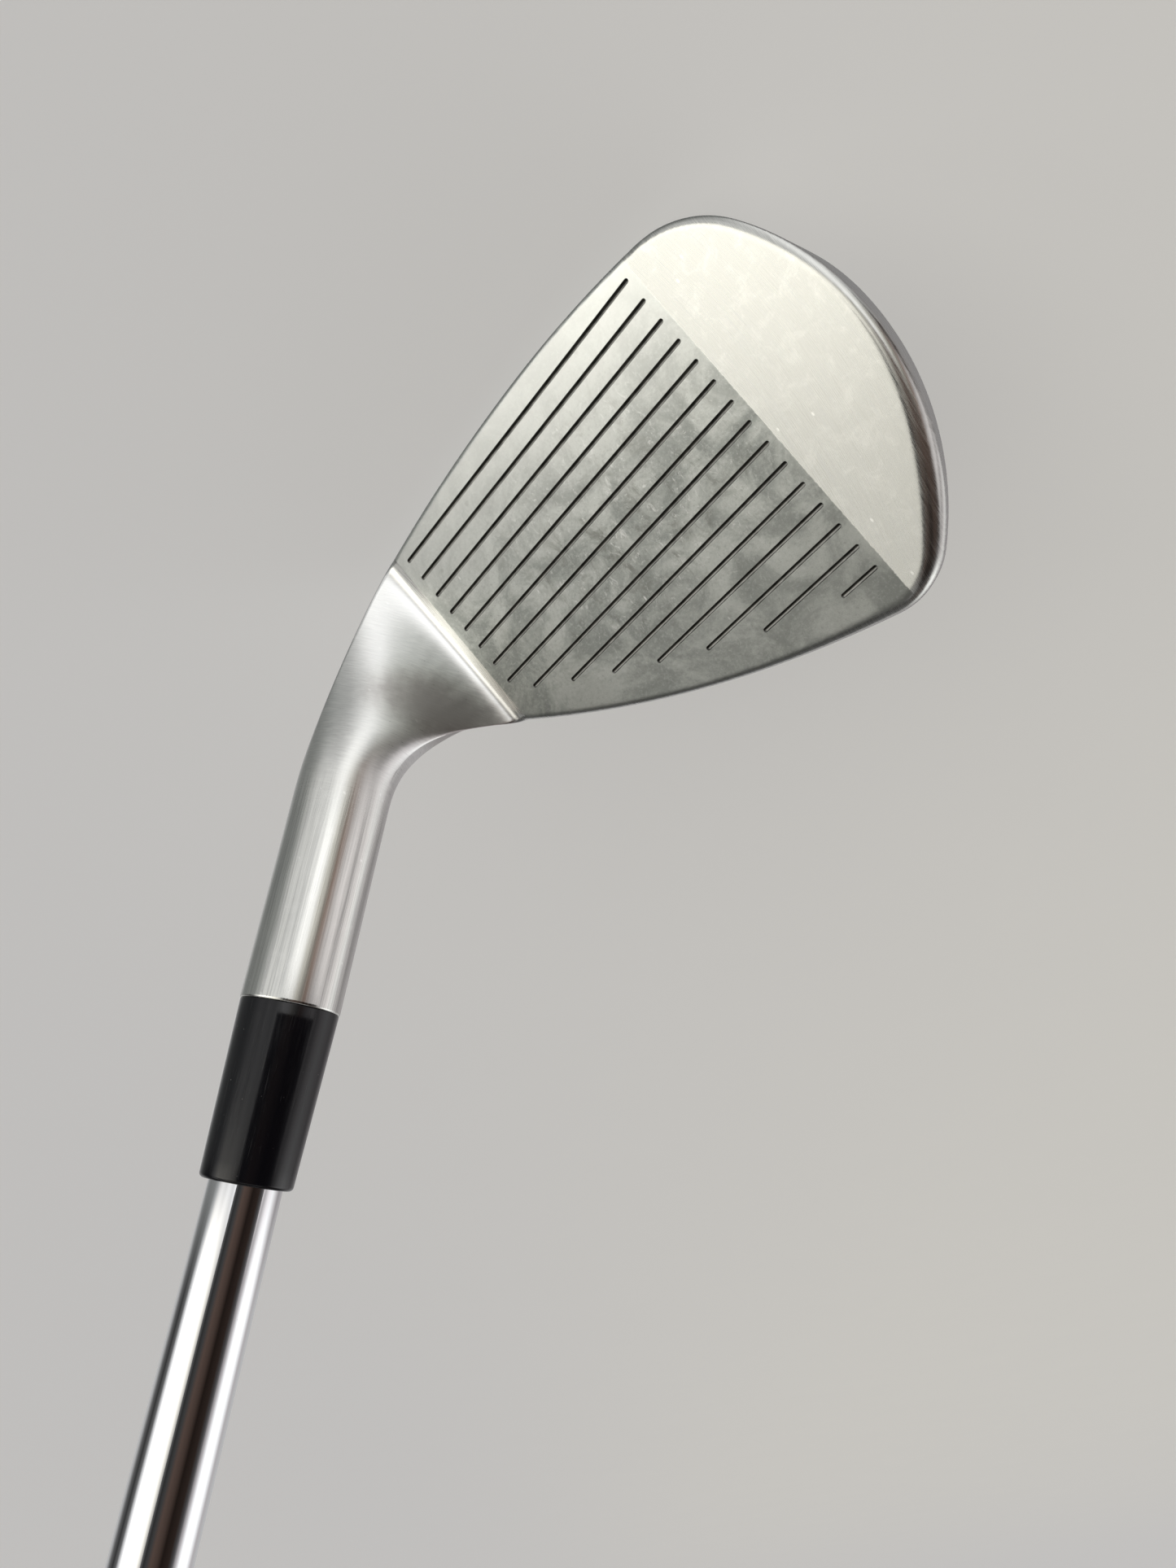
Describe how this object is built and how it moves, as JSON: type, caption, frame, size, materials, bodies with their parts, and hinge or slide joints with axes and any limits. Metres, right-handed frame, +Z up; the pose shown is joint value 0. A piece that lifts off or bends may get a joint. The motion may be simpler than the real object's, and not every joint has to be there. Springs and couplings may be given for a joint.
{
  "type": "iron golf club",
  "caption": "Right-handed pitching wedge: forged blade with score lines and a shallow back cavity, hosel, black ferrule, stepped steel shaft and rubber grip.",
  "frame": {"origin": "the point of the sole that meets the ground, below the middle of the score lines, with the club at address", "axes": "+Z up, the face towards -Y, the toe towards -X, the shaft leaning towards +X in the plane y = -6.2 mm"},
  "size_m": [0.4756, 0.0578, 0.823],
  "materials": {
    "forged_steel": "satin chrome plate, grit-blasted between the score lines",
    "ferrule_black": "polished black",
    "shaft_chrome": "mirror chrome on steel tube",
    "epoxy": "cured, translucent amber",
    "plug_metal": "turned",
    "foam_tape": "black foam tape",
    "badge_metal": "brushed, dark grey",
    "label_film": "clear-coated film",
    "tape_paper": "masking-tape backing",
    "grip_rubber": "matte, moulded pattern"
  },
  "bodies": {
    "root": {"club_head": "forged_steel", "ferrule": "ferrule_black", "shaft": "shaft_chrome", "hosel_epoxy": "epoxy", "swing_weight_plug": "plug_metal", "badge_adhesive_pad": "foam_tape", "cavity_badge": "badge_metal", "shaft_label": "label_film", "grip_tape": "tape_paper", "grip_sleeve": "grip_rubber", "grip_end_cap": "grip_rubber"}
  },
  "joints": []
}
